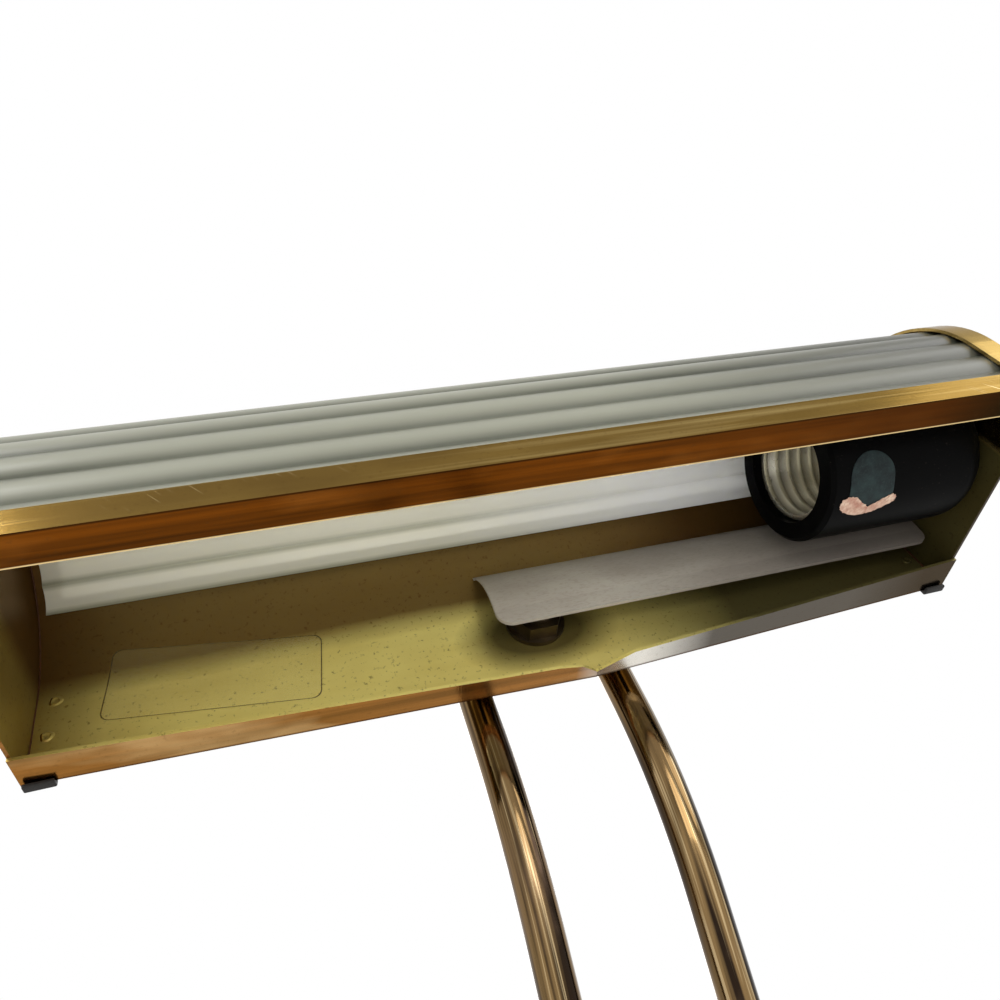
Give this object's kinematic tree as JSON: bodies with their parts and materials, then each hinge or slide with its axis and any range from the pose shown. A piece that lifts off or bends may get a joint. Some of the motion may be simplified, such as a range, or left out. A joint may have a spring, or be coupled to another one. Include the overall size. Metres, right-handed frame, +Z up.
{
  "type": "piano lamp",
  "caption": "Twin-arm brass desk lamp for a piano: folded sheet shade with a ribbed frosted glass pane, friction swivels above and below, weighted base and push switch.",
  "frame": {"origin": "middle of the felt under the base, on the table", "axes": "+Z up; X along the shade; the shade and its open front reach toward -Y"},
  "size_m": [0.24, 0.1636, 0.325],
  "materials": {
    "polished_brass": "polished, worn lacquer",
    "tube_brass": "bright drawn tube, tarnished",
    "raw_brass": "plain rolled sheet",
    "frosted_glass": "ribbed, frosted",
    "black_rubber": "matte",
    "phenolic": "moulded, satin",
    "aluminium_shell": "bright rolled thread",
    "grey_paint": "matte warm grey",
    "lead_sheath": "matte",
    "dark_steel": "darkened",
    "fibre": "vulcanised fibre",
    "felt": "green baize",
    "cast_weight": "as cast"
  },
  "bodies": {
    "base": {"base_barrel": "polished_brass", "base_cover": "polished_brass", "bottom_plate": "dark_steel", "felt_pad": "felt", "base_weight": "cast_weight", "base_post": "polished_brass", "base_nipple": "dark_steel", "base_nut": "dark_steel", "switch_body": "phenolic", "switch_bezel": "polished_brass", "cord_inlet": "black_rubber"},
    "arms": {"shade_cross_tube": "tube_brass", "base_cross_tube": "tube_brass", "shade_friction_washers": "fibre", "base_friction_washers": "fibre", "shade_spacers": "polished_brass", "base_spacers": "polished_brass", "shade_ball_left": "polished_brass", "shade_ball_right": "polished_brass", "base_ball_left": "polished_brass", "base_ball_right": "polished_brass", "arm_left": "tube_brass", "arm_right": "tube_brass"},
    "shade": {"shade_shell": "polished_brass", "end_plate_left": "polished_brass", "end_plate_right": "polished_brass", "ribbed_glass": "frosted_glass", "glass_clips": "raw_brass", "bumper_left": "black_rubber", "bumper_right": "black_rubber", "lamp_holder": "phenolic", "screw_shell": "aluminium_shell", "centre_contact": "raw_brass", "wire_cover": "grey_paint", "socket_leads": "lead_sheath", "panel_washer": "dark_steel", "panel_nut": "dark_steel", "shade_nipple": "dark_steel", "shade_barrel": "polished_brass"},
    "button": {"switch_button": "polished_brass"}
  },
  "joints": [
    {"name": "arm_tilt", "type": "hinge", "parent": "base", "child": "arms", "pos_m": [0, 0.022, 0.043], "axis": [1, 0, 0], "range_deg": [-20, 20]},
    {"name": "shade_tilt", "type": "hinge", "parent": "arms", "child": "shade", "pos_m": [0, -0.02704, 0.2852], "axis": [-1, 0, 0], "range_deg": [-4, 90]},
    {"name": "switch_press", "type": "slide", "parent": "base", "child": "button", "axis": [0, 0, -1], "range_m": [0, 0.0025], "stiffness_N_per_m": 900}
  ]
}
